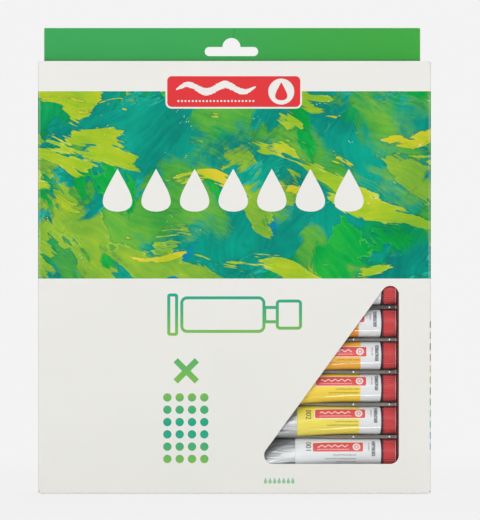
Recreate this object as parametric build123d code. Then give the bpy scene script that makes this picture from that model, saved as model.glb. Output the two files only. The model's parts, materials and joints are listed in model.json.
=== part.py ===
from build123d import *
import math
import os

# A box of 24 paint tubes: a folding carton with a hang header and a window, a clear tray,
# and two columns of tubes with their caps outward. Millimetres. The box stands upright:
# +X is right, +Y is back, +Z is up, and the origin is the middle of the base.

# Carton
CARTON_WIDTH = 220.0
CARTON_DEPTH = 20.0
CARTON_HEIGHT = 242.5
BOARD = 0.5
FOLD_RADIUS = 1.0  # outside, on the four upright folds
PANEL_GAP = 0.1  # between panels folded over each other
CREASE_GAP = 0.05  # between a rolled fold and the edge below it
SHOULDER_INSET = 1.3  # the top panel is this much narrower on each side
SEAM_FLAP_DEPTH = 12.5
SEAM_FLAP_MARGIN = 4.0

# Hang header
HEADER_TOP = 261.1
HEADER_LEFT = -107.0
HEADER_RIGHT = 104.4
HEADER_CORNER = 0.8
SLOT_CENTRE_X = -1.7
SLOT_CENTRE_Z = 247.85
SLOT_LENGTH = 30.0
SLOT_HEIGHT = 5.1
SLOT_DOME_RADIUS = 5.05

# Window: a right triangle, by the lines of its sides
WINDOW_LEFT = 11.9
WINDOW_RIGHT = 92.1
WINDOW_BOTTOM = 16.8
WINDOW_PEAK = 126.8
WINDOW_CORNER = 4.9
FILM = 0.2
FILM_BORDER = 7.0

# Lid, tuck and dust flaps
TUCK_LENGTH = 7.5
TUCK_OUTER_Y = 8.1
TUCK_SIDE_INSET = 4.6
TUCK_CORNER = 5.0
LID_BEVEL_TOP = 0.35  # lid edge to the tuck's fold line, at the lid's outer face
LID_BEVEL_BOTTOM = 0.95  # and at its inner face, so that the tuck can fold in
FLAP_LENGTH = 16.0
FLAP_FRONT_CLEARANCE = 1.0
FLAP_BACK_CLEARANCE = 0.5
FLAP_BACK_TAPER = 2.2
FLAP_TIP_CORNER = 1.0

# Tray
TRAY_SHEET = 0.4
TRAY_FRONT_Y = -9.0
TRAY_BACK_Y = 8.8
TRAY_HALF_WIDTH = 108.4
TRAY_BOTTOM = 2.2
TRAY_TOP = 233.0
TROUGH_RADIUS = 8.2
RIDGE_TOP_Y = -4.0
RIDGE_INNER_X = 58.0  # where the troughs under the heads end
RIDGE_END_X = 12.0
RIDGE_OUTER_X = 91.1
NUB_RADIUS = 0.8
NUB_POSITIONS_X = (66.7, 86.9)

# Tubes, by distance from the middle of the box
ROWS = 12
FIRST_ROW_Z = 22.75
ROW_PITCH = 18.17
TUBE_AXIS_Y = -0.2
TUBE_RADIUS = 8.0
TUBE_SHOULDER_X = 81.4
TUBE_ROUND_X = 62.0
SHOULDER_BEAD = 0.5
SHOULDER_CONE_LENGTH = 1.9
NECK_RADIUS = 4.0
NECK_END_X = 88.6
THREAD_DEPTH = 0.35
THREAD_PITCH = 1.3
THREAD_COUNT = 3
TAIL_END_X = 3.0
TAIL_FOLD_LENGTH = 5.0
TAIL_HALF_WIDTH = 10.8
TAIL_HALF_THICKNESS = 0.7
TAIL_TILT = 45.0

# Caps
CAP_MOUTH_X = 82.9
CAP_END_X = 90.8
CAP_RADIUS = 7.6
CAP_RIB_DEPTH = 0.2
CAP_RIBS = 36
CAP_WALL = 0.6
CAP_END_THICKNESS = 1.0
CAP_EDGE_RADIUS = 0.9
CAP_SOCKET_RADIUS = 4.6
CAP_SOCKET_WALL = 0.7

# Worked out from the above
HALF_WIDTH = CARTON_WIDTH / 2
HALF_DEPTH = CARTON_DEPTH / 2
HALF_BOARD = BOARD / 2
FRONT_FOLD_Y = -HALF_DEPTH + HALF_BOARD
TUCK_FOLD_Y = TUCK_OUTER_Y - HALF_BOARD
LID_FOLD_Z = CARTON_HEIGHT - HALF_BOARD
LID_HALF_WIDTH = HALF_WIDTH - SHOULDER_INSET
FLAP_FOLD_X = HALF_WIDTH - HALF_BOARD
FLAP_FOLD_Z = LID_FOLD_Z - BOARD - PANEL_GAP
FRONT_TOP = CARTON_HEIGHT - BOARD - CREASE_GAP
SIDE_TOP = FLAP_FOLD_Z - HALF_BOARD - CREASE_GAP
OUTER_PANEL_Z = HALF_BOARD
INNER_PANEL_Z = OUTER_PANEL_Z + BOARD
BOTTOM_FLAP_Z = INNER_PANEL_Z + BOARD + PANEL_GAP
FRONT_BOTTOM = BOARD + CREASE_GAP
BACK_BOTTOM = INNER_PANEL_Z + HALF_BOARD + CREASE_GAP
SIDE_BOTTOM = BOTTOM_FLAP_Z + HALF_BOARD + CREASE_GAP
TROUGH_OUTER_RADIUS = TROUGH_RADIUS + TRAY_SHEET
LAST_ROW_Z = FIRST_ROW_Z + (ROWS - 1) * ROW_PITCH
WELL_BOTTOM = FIRST_ROW_Z - TROUGH_OUTER_RADIUS
WELL_TOP = LAST_ROW_Z + TROUGH_OUTER_RADIUS


def block(x_low, x_high, y_low, y_high, z_low, z_high):
    """A box by its lowest and highest corners."""
    size = (x_high - x_low, y_high - y_low, z_high - z_low)
    centre = ((x_low + x_high) / 2, (y_low + y_high) / 2, (z_low + z_high) / 2)
    return Pos(*centre) * Box(*size)


def upright(outline, y_low, y_high):
    """Extrude an outline drawn in X and Z between two depths."""
    return extrude(Plane.XZ.offset(-y_high) * outline, amount=y_high - y_low)


def lengthwise(profile, x_low, x_high):
    """Extrude a profile drawn in Y and Z between two widths."""
    return extrude(Plane.YZ.offset(x_low) * profile, amount=x_high - x_low)


def outline(*points):
    return Polygon(*points, align=None)


def at_both_sides(shape):
    """A shape together with its mirror image across the middle."""
    return shape + mirror(shape, Plane.YZ)


def row_height(row):
    return FIRST_ROW_Z + row * ROW_PITCH


def window_outline():
    triangle = outline(
        (WINDOW_LEFT, WINDOW_BOTTOM),
        (WINDOW_RIGHT, WINDOW_BOTTOM),
        (WINDOW_RIGHT, WINDOW_PEAK),
    )
    return fillet(triangle.vertices(), WINDOW_CORNER)


def hang_slot_outline():
    """A hang slot: a long round-ended slot with a round dome above its middle."""
    slot = Pos(SLOT_CENTRE_X, SLOT_CENTRE_Z) * SlotOverall(SLOT_LENGTH, SLOT_HEIGHT)
    dome_z = SLOT_CENTRE_Z + SLOT_HEIGHT / 2
    return slot + Pos(SLOT_CENTRE_X, dome_z) * Circle(SLOT_DOME_RADIUS)


def header_outline(bottom):
    panel = outline(
        (HEADER_LEFT, bottom),
        (HEADER_RIGHT, bottom),
        (HEADER_RIGHT, HEADER_TOP),
        (HEADER_LEFT, HEADER_TOP),
    )
    corners = panel.vertices().sort_by(Axis.Y)[-2:]
    return fillet(corners, HEADER_CORNER) - hang_slot_outline()


def carton_wrap():
    """The four upright panels, the seam flap and the header's back layer."""
    outside = RectangleRounded(CARTON_WIDTH, CARTON_DEPTH, FOLD_RADIUS)
    inside = RectangleRounded(
        CARTON_WIDTH - 2 * BOARD, CARTON_DEPTH - 2 * BOARD, FOLD_RADIUS - BOARD
    )
    wall = Pos(0, 0, SIDE_BOTTOM) * extrude(outside - inside, amount=SIDE_TOP - SIDE_BOTTOM)
    flat_half_width = HALF_WIDTH - FOLD_RADIUS
    front = outline(
        (-LID_HALF_WIDTH, FRONT_BOTTOM),
        (LID_HALF_WIDTH, FRONT_BOTTOM),
        (flat_half_width, SIDE_BOTTOM),
        (flat_half_width, SIDE_TOP),
        (LID_HALF_WIDTH, FRONT_TOP),
        (-LID_HALF_WIDTH, FRONT_TOP),
        (-flat_half_width, SIDE_TOP),
        (-flat_half_width, SIDE_BOTTOM),
    )
    back = outline(
        (-LID_HALF_WIDTH, BACK_BOTTOM),
        (LID_HALF_WIDTH, BACK_BOTTOM),
        (flat_half_width, SIDE_BOTTOM),
        (flat_half_width, SIDE_TOP),
        (HEADER_RIGHT, CARTON_HEIGHT),
        (HEADER_LEFT, CARTON_HEIGHT),
        (-flat_half_width, SIDE_TOP),
        (-flat_half_width, SIDE_BOTTOM),
    )
    inner_x = HALF_WIDTH - BOARD
    seam_back_y = HALF_DEPTH - FOLD_RADIUS
    seam_flap = block(
        -inner_x,
        -inner_x + BOARD,
        seam_back_y - SEAM_FLAP_DEPTH,
        seam_back_y,
        SIDE_BOTTOM + SEAM_FLAP_MARGIN,
        SIDE_TOP - SEAM_FLAP_MARGIN,
    )
    wrap = wall + upright(front, -HALF_DEPTH, -HALF_DEPTH + BOARD)
    wrap += upright(back, HALF_DEPTH - BOARD, HALF_DEPTH)
    wrap += upright(header_outline(SIDE_TOP), HALF_DEPTH - BOARD, HALF_DEPTH)
    wrap -= upright(window_outline(), -HALF_DEPTH - BOARD, -HALF_DEPTH + 2 * BOARD)
    return wrap + seam_flap


def header_front_layer():
    """The header's folded-over layer, with its top edge rounded by the fold."""
    back_y = HALF_DEPTH - BOARD
    layer = upright(header_outline(CARTON_HEIGHT), back_y - BOARD, back_y)
    top_front_edge = layer.edges().filter_by(Axis.X).group_by(Axis.Z)[-1].sort_by(Axis.Y)[0]
    return fillet(top_front_edge, 0.8 * BOARD)


def closing_panel(fold_z, half_width, back_top_y, back_bottom_y):
    """A panel rolled along its front edge, with its back edge cut on a bevel."""
    profile = outline(
        (FRONT_FOLD_Y, fold_z - HALF_BOARD),
        (back_bottom_y, fold_z - HALF_BOARD),
        (back_top_y, fold_z + HALF_BOARD),
        (FRONT_FOLD_Y, fold_z + HALF_BOARD),
    )
    profile += Pos(FRONT_FOLD_Y, fold_z) * Circle(HALF_BOARD)
    return lengthwise(profile, -half_width, half_width)


def lid_panel():
    return closing_panel(
        LID_FOLD_Z,
        LID_HALF_WIDTH,
        TUCK_FOLD_Y - LID_BEVEL_TOP,
        TUCK_FOLD_Y - LID_BEVEL_BOTTOM,
    )


def lid_tuck():
    """The flap that goes down behind the lid's free edge."""
    half_width = LID_HALF_WIDTH - TUCK_SIDE_INSET
    bottom = LID_FOLD_Z - TUCK_LENGTH
    panel = outline(
        (-half_width, bottom),
        (half_width, bottom),
        (half_width, LID_FOLD_Z),
        (-half_width, LID_FOLD_Z),
    )
    panel = fillet(panel.vertices().sort_by(Axis.Y)[:2], TUCK_CORNER)
    roll = lengthwise(Pos(TUCK_FOLD_Y, LID_FOLD_Z) * Circle(HALF_BOARD), -half_width, half_width)
    return upright(panel, TUCK_OUTER_Y - BOARD, TUCK_OUTER_Y) + roll


def dust_flap_right():
    """A flap from the right side, tapered so that it stays clear of the lid as both lift."""
    front_y = FRONT_FOLD_Y + FLAP_FRONT_CLEARANCE
    back_y = TUCK_OUTER_Y - BOARD - FLAP_BACK_CLEARANCE
    tip_x = FLAP_FOLD_X - FLAP_LENGTH
    panel = outline(
        (FLAP_FOLD_X, front_y),
        (FLAP_FOLD_X, back_y),
        (tip_x, back_y - FLAP_BACK_TAPER),
        (tip_x, front_y + FLAP_LENGTH / 2),
    )
    panel = fillet(panel.vertices().sort_by(Axis.X)[:2], FLAP_TIP_CORNER)
    flap = Pos(0, 0, FLAP_FOLD_Z - HALF_BOARD) * extrude(panel, amount=BOARD)
    roll_plane = Plane.XZ.offset(-back_y)
    roll = extrude(
        roll_plane * Pos(FLAP_FOLD_X, FLAP_FOLD_Z) * Circle(HALF_BOARD), amount=back_y - front_y
    )
    return flap + roll


def bottom_flap_right():
    """The same flap as at the top, glued down over the bottom panels."""
    return Pos(0, 0, BOTTOM_FLAP_Z - FLAP_FOLD_Z) * dust_flap_right()


def bottom_outer_panel():
    back_y = HALF_DEPTH - BOARD - PANEL_GAP
    return closing_panel(OUTER_PANEL_Z, LID_HALF_WIDTH, back_y, back_y)


def bottom_inner_panel():
    """The panel folded in from the back, glued between the outer panel and the flaps."""
    front_y = -HALF_DEPTH + BOARD + PANEL_GAP
    fold_y = HALF_DEPTH - HALF_BOARD
    panel = block(
        -LID_HALF_WIDTH,
        LID_HALF_WIDTH,
        front_y,
        fold_y,
        INNER_PANEL_Z - HALF_BOARD,
        INNER_PANEL_Z + HALF_BOARD,
    )
    fold = Pos(fold_y, INNER_PANEL_Z) * Circle(HALF_BOARD)
    return panel + lengthwise(fold, -LID_HALF_WIDTH, LID_HALF_WIDTH)


def window_film():
    """A clear sheet glued behind the front panel, past the window's edge all round."""
    front_y = -HALF_DEPTH + BOARD
    return block(
        WINDOW_LEFT - FILM_BORDER,
        WINDOW_RIGHT + FILM_BORDER,
        front_y,
        front_y + FILM,
        WINDOW_BOTTOM - FILM_BORDER,
        WINDOW_PEAK,
    )


def trough_section(radius, front_y):
    """Half round at the back, with straight walls as far as front_y."""
    half_round = Circle(radius) & Pos(radius, 0) * Rectangle(2 * radius, 2 * radius)
    straight = TUBE_AXIS_Y - front_y
    section = half_round + Pos(-straight / 2, 0) * Rectangle(straight, 2 * radius)
    return Pos(TUBE_AXIS_Y, 0) * section


def ridge_section():
    """The sheet between all the rows, as it runs under the caps."""
    section = Sketch()
    for row in range(ROWS):
        section += Pos(0, row_height(row)) * trough_section(TROUGH_OUTER_RADIUS, RIDGE_TOP_Y)
    cap_height = ROW_PITCH - 2 * TROUGH_RADIUS
    cap_y = RIDGE_TOP_Y - TRAY_SHEET / 2
    for row in range(ROWS - 1):
        cap_z = row_height(row) + ROW_PITCH / 2
        section += Pos(cap_y, cap_z) * Rectangle(TRAY_SHEET, cap_height)
    wall_depth = RIDGE_TOP_Y - TRAY_FRONT_Y
    wall_y = (RIDGE_TOP_Y + TRAY_FRONT_Y) / 2
    for wall_z in (WELL_BOTTOM + TRAY_SHEET / 2, WELL_TOP - TRAY_SHEET / 2):
        section += Pos(wall_y, wall_z) * Rectangle(wall_depth, TRAY_SHEET)
    return section - trough_cavities()


def trough_cavities():
    """The room for the tubes in all the troughs."""
    front_y = RIDGE_TOP_Y - TRAY_SHEET
    cavities = Sketch()
    for row in range(ROWS):
        cavities += Pos(0, row_height(row)) * trough_section(TROUGH_RADIUS, front_y)
    return cavities


def cross_wall(front_y):
    """The outline of a wall across all the rows, in Y and Z."""
    return outline(
        (front_y, WELL_BOTTOM),
        (TRAY_BACK_Y, WELL_BOTTOM),
        (TRAY_BACK_Y, WELL_TOP),
        (front_y, WELL_TOP),
    )


def narrow_ridges(width, end_x, front_y):
    """A bar between every two rows, beside the tails of the right column."""
    bars = Part()
    for row in range(ROWS - 1):
        middle = row_height(row) + ROW_PITCH / 2
        low = middle - width / 2
        bars += block(end_x, RIDGE_INNER_X - TRAY_SHEET, front_y, TRAY_BACK_Y, low, low + width)
    return bars


def tray():
    """One sheet: a flange and skirt, a flat well, and ridges between the rows."""
    ridges = lengthwise(ridge_section(), RIDGE_INNER_X - TRAY_SHEET, RIDGE_OUTER_X)
    comb_profile = cross_wall(RIDGE_TOP_Y - TRAY_SHEET) - trough_cavities()
    ridges += lengthwise(comb_profile, RIDGE_INNER_X - TRAY_SHEET, RIDGE_INNER_X)
    ridges += lengthwise(cross_wall(TRAY_FRONT_Y), RIDGE_OUTER_X, RIDGE_OUTER_X + TRAY_SHEET)
    nub = Sphere(NUB_RADIUS)
    nub_y = RIDGE_TOP_Y - TRAY_SHEET / 2
    for row in range(ROWS - 1):
        for nub_x in NUB_POSITIONS_X:
            ridges += Pos(nub_x, nub_y, row_height(row) + ROW_PITCH / 2) * nub
    well_base_y = TRAY_BACK_Y - TRAY_SHEET
    shell = block(
        -RIDGE_INNER_X, RIDGE_INNER_X, well_base_y, TRAY_BACK_Y, WELL_BOTTOM, WELL_TOP
    )
    for wall_z in (WELL_BOTTOM, WELL_TOP - TRAY_SHEET):
        shell += block(
            -RIDGE_INNER_X,
            RIDGE_INNER_X,
            TRAY_FRONT_Y,
            TRAY_BACK_Y,
            wall_z,
            wall_z + TRAY_SHEET,
        )
    width = ROW_PITCH - 2 * TROUGH_RADIUS
    outside = narrow_ridges(width, RIDGE_END_X, RIDGE_TOP_Y - TRAY_SHEET)
    hollow = narrow_ridges(width - 2 * TRAY_SHEET, RIDGE_END_X + TRAY_SHEET, RIDGE_TOP_Y)
    shell += at_both_sides(outside)
    shell -= at_both_sides(hollow)
    flange_back_y = TRAY_FRONT_Y + TRAY_SHEET
    flange = block(
        -TRAY_HALF_WIDTH,
        TRAY_HALF_WIDTH,
        TRAY_FRONT_Y,
        flange_back_y,
        TRAY_BOTTOM,
        TRAY_TOP,
    )
    flange -= block(
        -RIDGE_OUTER_X,
        RIDGE_OUTER_X,
        TRAY_FRONT_Y - TRAY_SHEET,
        flange_back_y + TRAY_SHEET,
        WELL_BOTTOM + TRAY_SHEET,
        WELL_TOP - TRAY_SHEET,
    )
    skirt = block(
        -TRAY_HALF_WIDTH, TRAY_HALF_WIDTH, TRAY_FRONT_Y, TRAY_BACK_Y, TRAY_BOTTOM, TRAY_TOP
    )
    skirt -= block(
        -TRAY_HALF_WIDTH + TRAY_SHEET,
        TRAY_HALF_WIDTH - TRAY_SHEET,
        TRAY_FRONT_Y - TRAY_SHEET,
        TRAY_BACK_Y + TRAY_SHEET,
        TRAY_BOTTOM + TRAY_SHEET,
        TRAY_TOP - TRAY_SHEET,
    )
    return shell + flange + skirt + at_both_sides(ridges)


def tube_head():
    """The round part: sleeve, shoulder bead, cone and neck, turned about the tube's axis."""
    bead_x = TUBE_SHOULDER_X + SHOULDER_BEAD
    cone_x = bead_x + SHOULDER_CONE_LENGTH
    bead_radius = TUBE_RADIUS - SHOULDER_BEAD / 2
    half_profile = outline(
        (TUBE_ROUND_X, 0),
        (TUBE_ROUND_X, TUBE_RADIUS),
        (TUBE_SHOULDER_X, TUBE_RADIUS),
        (bead_x, bead_radius),
        (cone_x, NECK_RADIUS),
        (NECK_END_X, NECK_RADIUS),
        (NECK_END_X, 0),
    )
    half_profile += thread_profile(cone_x)
    return revolve(half_profile, Axis.X)


def thread_profile(cone_x):
    """Raised rings that stand for the neck's thread."""
    rings = Sketch()
    for turn in range(THREAD_COUNT):
        middle = cone_x + THREAD_PITCH * (turn + 0.8)
        rings += outline(
            (middle - THREAD_DEPTH, NECK_RADIUS),
            (middle + THREAD_DEPTH, NECK_RADIUS),
            (middle, NECK_RADIUS + THREAD_DEPTH),
        )
    return rings


def flattened_section(share):
    """The sleeve's section on its way to the flat tail, at the same distance round."""
    x = TUBE_ROUND_X + share * (TAIL_END_X + TAIL_FOLD_LENGTH - TUBE_ROUND_X)
    thickness_share = math.cos(share * math.pi / 2) ** 0.8
    half_thickness = TAIL_HALF_THICKNESS + (TUBE_RADIUS - TAIL_HALF_THICKNESS) * thickness_share
    widening = (TUBE_RADIUS - half_thickness) / (TUBE_RADIUS - TAIL_HALF_THICKNESS)
    half_width = TUBE_RADIUS + (TAIL_HALF_WIDTH - TUBE_RADIUS) * widening
    return Plane.YZ.offset(x) * Rot(0, 0, TAIL_TILT) * Ellipse(half_width, half_thickness)


def tube_tail():
    """The sleeve as it flattens, and the end folded over on itself."""
    round_section = Plane.YZ.offset(TUBE_ROUND_X) * Circle(TUBE_RADIUS)
    sections = [flattened_section(share) for share in (0.25, 0.5, 0.75, 1.0)]
    body = loft([round_section] + sections)
    fold_profile = Rot(0, 0, TAIL_TILT) * Rectangle(2 * TAIL_HALF_WIDTH, 2 * TAIL_HALF_THICKNESS)
    return body + lengthwise(fold_profile, TAIL_END_X, TAIL_END_X + TAIL_FOLD_LENGTH)


def tube():
    """A paint tube along +X, about its own axis."""
    return tube_head() + tube_tail()


def ribbed_section():
    """A circle with square-topped ribs."""
    points = []
    for rib in range(CAP_RIBS):
        for share, radius in (
            (0.0, CAP_RADIUS - CAP_RIB_DEPTH),
            (0.35, CAP_RADIUS - CAP_RIB_DEPTH),
            (0.5, CAP_RADIUS),
            (0.85, CAP_RADIUS),
        ):
            angle = math.tau * (rib + share) / CAP_RIBS
            points.append((radius * math.cos(angle), radius * math.sin(angle)))
    return Polygon(*points, align=None)


def cap():
    """A ribbed screw cap along +X, with a socket for the neck."""
    ribbed = lengthwise(ribbed_section(), CAP_MOUTH_X, CAP_END_X)
    rounding = outline(
        (CAP_MOUTH_X, 0),
        (CAP_MOUTH_X, CAP_RADIUS),
        (CAP_END_X, CAP_RADIUS),
        (CAP_END_X, 0),
    )
    end_corner = rounding.vertices().sort_by(Axis.X)[-2:].sort_by(Axis.Y)[-1]
    ribbed &= revolve(fillet(end_corner, CAP_EDGE_RADIUS), Axis.X)
    cavity_end = CAP_END_X - CAP_END_THICKNESS
    skirt_inner = CAP_RADIUS - CAP_WALL
    socket_outer = CAP_SOCKET_RADIUS + CAP_SOCKET_WALL
    socket_mouth = CAP_MOUTH_X + SHOULDER_CONE_LENGTH
    cavity = lengthwise(Circle(skirt_inner) - Circle(socket_outer), CAP_MOUTH_X, cavity_end)
    cavity += lengthwise(Circle(skirt_inner), CAP_MOUTH_X, socket_mouth)
    cavity += lengthwise(Circle(CAP_SOCKET_RADIUS), CAP_MOUTH_X, cavity_end)
    return ribbed - cavity


def place_in_row(shape, row, side):
    """Move a tube or cap to its row; the left column is turned round."""
    turn = 0 if side == "right" else 180
    return Pos(0, TUBE_AXIS_Y, row_height(row)) * Rot(0, 0, turn) * shape


def save(shape, name):
    export_step(shape, f"parts/{name}.step")


def main():
    os.makedirs("parts", exist_ok=True)
    save(carton_wrap(), "carton_wrap")
    save(header_front_layer(), "header_front_layer")
    save(lid_panel(), "lid_panel")
    save(lid_tuck(), "lid_tuck")
    save(dust_flap_right(), "dust_flap_right")
    save(mirror(dust_flap_right(), Plane.YZ), "dust_flap_left")
    save(bottom_outer_panel(), "bottom_outer_panel")
    save(bottom_inner_panel(), "bottom_inner_panel")
    save(bottom_flap_right(), "bottom_flap_right")
    save(mirror(bottom_flap_right(), Plane.YZ), "bottom_flap_left")
    save(window_film(), "window_film")
    save(tray(), "tray")
    one_tube = tube()
    one_cap = cap()
    for side in ("left", "right"):
        for row in range(ROWS):
            save(place_in_row(one_tube, row, side), f"tube_{side}_{row + 1:02d}")
            save(place_in_row(one_cap, row, side), f"cap_{side}_{row + 1:02d}")


main()
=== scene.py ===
import bmesh
import bpy
import json
import math
import random
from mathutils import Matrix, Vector
from mathutils import noise as smooth_noise


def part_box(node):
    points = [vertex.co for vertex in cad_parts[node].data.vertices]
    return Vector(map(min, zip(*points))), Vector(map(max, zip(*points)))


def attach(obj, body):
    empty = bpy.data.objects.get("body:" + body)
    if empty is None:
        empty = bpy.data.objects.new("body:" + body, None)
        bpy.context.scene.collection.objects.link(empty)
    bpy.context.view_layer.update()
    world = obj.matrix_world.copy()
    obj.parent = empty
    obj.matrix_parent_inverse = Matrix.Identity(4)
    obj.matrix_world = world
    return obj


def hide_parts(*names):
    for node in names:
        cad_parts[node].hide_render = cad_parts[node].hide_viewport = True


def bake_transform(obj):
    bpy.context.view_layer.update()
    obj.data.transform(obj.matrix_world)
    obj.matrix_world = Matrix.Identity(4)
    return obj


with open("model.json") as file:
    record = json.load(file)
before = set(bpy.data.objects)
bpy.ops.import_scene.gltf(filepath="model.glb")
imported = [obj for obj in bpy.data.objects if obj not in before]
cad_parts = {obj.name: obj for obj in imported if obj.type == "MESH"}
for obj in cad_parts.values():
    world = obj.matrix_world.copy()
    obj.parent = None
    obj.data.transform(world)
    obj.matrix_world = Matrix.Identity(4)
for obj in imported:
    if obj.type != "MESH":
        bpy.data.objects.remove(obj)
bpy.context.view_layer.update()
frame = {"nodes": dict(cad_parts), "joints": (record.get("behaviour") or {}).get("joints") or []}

bl_info = {
    "name": "Paint Box Dresser",
    "version": (1, 0, 0),
    "blender": (4, 5, 0),
    "location": "3D View > Sidebar > Paint Box",
    "description": "Prints, creases, tubes, caps and tray of a boxed set of 24 paint tubes",
    "category": "Object",
}

MM = 0.001
SIDES = {"left": -1, "right": 1}
ROWS = 12


def in_mm(corners):
    """Corners given in metres, as lists of millimetres."""
    return [[v / MM for v in corner] for corner in corners]


def in_metres(x, y, z):
    """A place given in millimetres, in metres."""
    return (x * MM, y * MM, z * MM)


# Places and sizes in millimetres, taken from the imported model
HALF_WIDTH, HALF_DEPTH = in_mm(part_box("carton_wrap"))[1][:2]
LID_LOW, LID_HIGH = in_mm(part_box("lid_panel"))
TUCK_LOW, TUCK_HIGH = in_mm(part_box("lid_tuck"))
FLAP_LOW, FLAP_HIGH = in_mm(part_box("dust_flap_right"))
HEADER_LOW, HEADER_HIGH = in_mm(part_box("header_front_layer"))
TUBE_LOW, TUBE_HIGH = in_mm(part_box("tube_right_01"))
CAP_LOW, CAP_HIGH = in_mm(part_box("cap_right_01"))
SECOND_CAP_LOW = in_mm(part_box("cap_right_02"))[0]
BOX_TOP = LID_HIGH[2]
BOARD = LID_HIGH[2] - LID_LOW[2]
FIRST_ROW_Z = (CAP_LOW[2] + CAP_HIGH[2]) / 2
ROW_PITCH = SECOND_CAP_LOW[2] - CAP_LOW[2]

# Board
FOLD_RADIUS = 1.0
CORNER_ROUND = 1.3
SKIN = 0.03
FLAP_MARGIN = 0.4
BOTTOM_FACE_Z = -0.001
# Depths under a face of the board at which its coating starts and is full
COAT_START = 0.06
COAT_FULL = 0.02
# Depths behind a face of the carton at which its print starts and is full
FACE_START = 0.9
FACE_FULL = 0.4

# Print on the front and the back
BADGE_CENTRE = (-0.4, 225.4)
BADGE_HALF = (38.2, 9.55)
BADGE_CORNER = 3.5
BADGE_RIM = 0.95
BADGE_STROKE_HALF = 22.5
BADGE_STROKE_OFFSET = -10.0
BADGE_DISC_OFFSET = 26.6
BADGE_DISC_RADIUS = 7.25
# Rows of paint drops: each one's first middle, pitch, count, foot, height and half width
DROP_ROWS = {
    "badge": (BADGE_CENTRE[0] + BADGE_DISC_OFFSET, 30.0, 1, BADGE_CENTRE[1] - 4.9, 10.2, 3.4),
    "band": (-65.5, 21.6, 7, 158.2, 24.0, 8.2),
    "foot": (17.4, 2.55, 7, 5.8, 3.5, 0.95),
}
CHART_BOTTOM = 42.0
CHART_PITCH = 13.0
CHART_MIDDLE_X = 36.0

# Sleeves of the tubes; each X is a distance from the middle of the box
TUBE_AXIS_Y = (CAP_LOW[1] + CAP_HIGH[1]) / 2
TUBE_RADIUS = 8.12
TUBE_TAIL_X = TUBE_LOW[0]
TUBE_ROUND_X = 62.0
TUBE_SHOULDER_X = 81.4
TUBE_NECK_X = TUBE_HIGH[0]
LACQUER_END_X = 82.2
LEDGE_MIDDLE = -4.45
LEDGE_DRIFT = 1.6
LEDGE_SLANT = 0.028
LEDGE_LEVEL_X = 60.0
LEDGE_WIDTH = 0.9
LEDGE_PITCH = math.radians(11.5)
SOFT_LENGTH = 12.0
DENT_LEVEL = 0.35
DENT_STRETCH = (0.055, 0.9)
WRINKLE_FOLDS = 7
FLARE_START_X = 66.0
FLARE_FULL_X = 26.0
FLARE_SHARE = 0.19
TAIL_FOLD_X = TUBE_TAIL_X + 5.0
TAIL_HALF_THICKNESS = 0.7
TAIL_HALF_WIDTH = 10.8
TAIL_TILT = math.radians(45)
NECK_RADIUS = 4.0
THREAD_RADIUS = 4.33
THREAD_PITCH = 1.3
ROUND_STEPS = 72

# Print on the tubes
BAR_CENTRE = (58.8, 2.9)
BAR_HALF = (14.4, 3.2)
BAR_CORNER = 1.0
BAR_RIM = 0.35
BAR_STROKE_ENDS = (47.5, 64.5)
BAR_DISC_X = 69.2
NUMBER_X = 41.4
NUMBER_SIZE = 4.1
NUMBER_ROLL = 0.45
NUMBER_PROUD = 0.12
# How far each right-hand tube's print lies along the tube and round it, from the bottom row up
PRINT_PLACES = ((-0.8, 0.9), (0.4, 1.5), (0.9, 1.5), (1.1, -0.3), (0.0, 0.8), (0.4, -0.5))

# Caps and tray
# Span near each cap's end where a painted highlight line goes, on the caps and on the tray's ridges
CAP_HIGHLIGHT_SPAN = (CAP_HIGH[0] - 0.62, CAP_HIGH[0] - 0.25)
# Where the painted dark red shade past the ends of the caps starts
PAST_CAPS_X = 90.9
RIDGE_FRONT = (-3.4, -3.8)
# Distances of the ridges' nubs from the middle, where painted glints go
NUB_PLACES = (66.7, 86.9)

# Paint colours from the bottom row up, as sRGB hex
PAINTS = {
    "right": {
        "white": "E8EBED",
        "lemon": "F2E052",
        "yellow": "F8D63E",
        "deep_yellow": "FCBA3C",
        "orange": "F9A236",
        "vermilion": "DC4628",
        "red": "C81E2D",
        "carmine": "A51437",
        "rose": "D2508C",
        "magenta": "A51E78",
        "violet": "5F328C",
        "deep_blue": "283C8C",
    },
    "left": {
        "sky_blue": "4BA5D2",
        "cyan": "0087BE",
        "turquoise": "00A0A0",
        "light_green": "69B43C",
        "green": "1E8C46",
        "deep_green": "145A3C",
        "olive": "7D7D2D",
        "ochre": "C8963C",
        "sienna": "9B4B28",
        "umber": "5A3C28",
        "grey": "8C8C8C",
        "black": "232323",
    },
}


def paint_name(side, row):
    return list(PAINTS[side])[row]


def rgb(hex_code):
    """Linear colour of an sRGB hex code."""
    values = [int(hex_code[i : i + 2], 16) / 255 for i in (0, 2, 4)]
    linear = [v / 12.92 if v <= 0.04045 else ((v + 0.055) / 1.055) ** 2.4 for v in values]
    return (*linear, 1.0)


def row_height(row):
    return FIRST_ROW_Z + row * ROW_PITCH


# ---------------------------------------------------------------- properties


def colour_property(name, description, default):
    return bpy.props.FloatVectorProperty(
        name=name,
        description=description,
        default=rgb(default),
        size=4,
        subtype="COLOR",
        min=0.0,
        max=1.0,
    )


def length_property(name, description, default_mm):
    return bpy.props.FloatProperty(
        name=name, description=description, default=default_mm * MM, unit="LENGTH", precision=5
    )


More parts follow.
